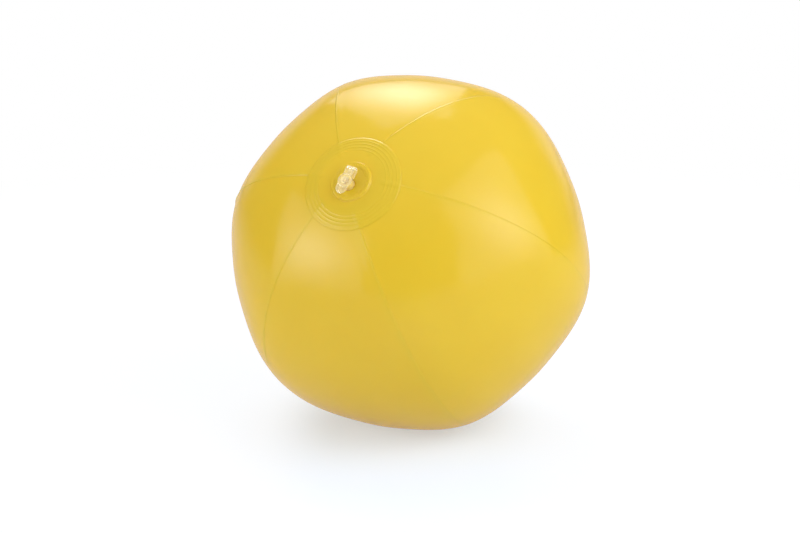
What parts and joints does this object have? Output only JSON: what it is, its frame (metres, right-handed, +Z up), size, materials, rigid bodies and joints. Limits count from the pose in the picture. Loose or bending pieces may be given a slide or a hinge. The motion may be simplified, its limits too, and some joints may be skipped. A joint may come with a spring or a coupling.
{
  "type": "beach ball",
  "caption": "Inflatable beach ball of welded vinyl film panels with round end patches and a plugged inflation valve; rolls, floats and is thrown.",
  "frame": {"origin": "on the floor, directly below the ball's centre", "axes": "+Z up; the pole where the seams meet leans forward towards -Y in the YZ plane, 38 degrees above the horizon, and the valve patch sits about 6 mm off it; X runs across, through two opposite seams"},
  "size_m": [0.2688, 0.2522, 0.2534],
  "materials": {
    "yellow_film": "satin-gloss translucent yellow PVC film",
    "clear_vinyl": "clear soft PVC, glossy"
  },
  "bodies": {
    "ball": {"panel_1": "yellow_film", "panel_2": "yellow_film", "panel_3": "yellow_film", "panel_4": "yellow_film", "panel_5": "yellow_film", "panel_6": "yellow_film", "valve_patch": "yellow_film", "end_patch": "yellow_film", "valve_flange": "clear_vinyl", "valve_neck": "clear_vinyl"},
    "stem": {"valve_stem": "clear_vinyl", "plug_strap": "clear_vinyl"},
    "plug": {"valve_plug": "clear_vinyl"},
    "flap": {"valve_flap": "clear_vinyl"}
  },
  "joints": [
    {"name": "stem_pull", "type": "slide", "parent": "ball", "child": "stem", "axis": [0.0408, -0.8016, 0.5964], "range_m": [-0.0016, 0.0044], "deforming": ["valve_neck"]},
    {"name": "plug_flip", "type": "hinge", "parent": "stem", "child": "plug", "pos_m": [0.00597, -0.09899, 0.20617], "axis": [-0.9894, 0.051, 0.1361], "range_deg": [0, 165], "deforming": ["plug_strap"]},
    {"name": "flap_swing", "type": "hinge", "parent": "stem", "child": "flap", "pos_m": [0.00375, -0.09706, 0.1893], "axis": [-0.9894, 0.051, 0.1361], "range_deg": [0, 40]}
  ]
}
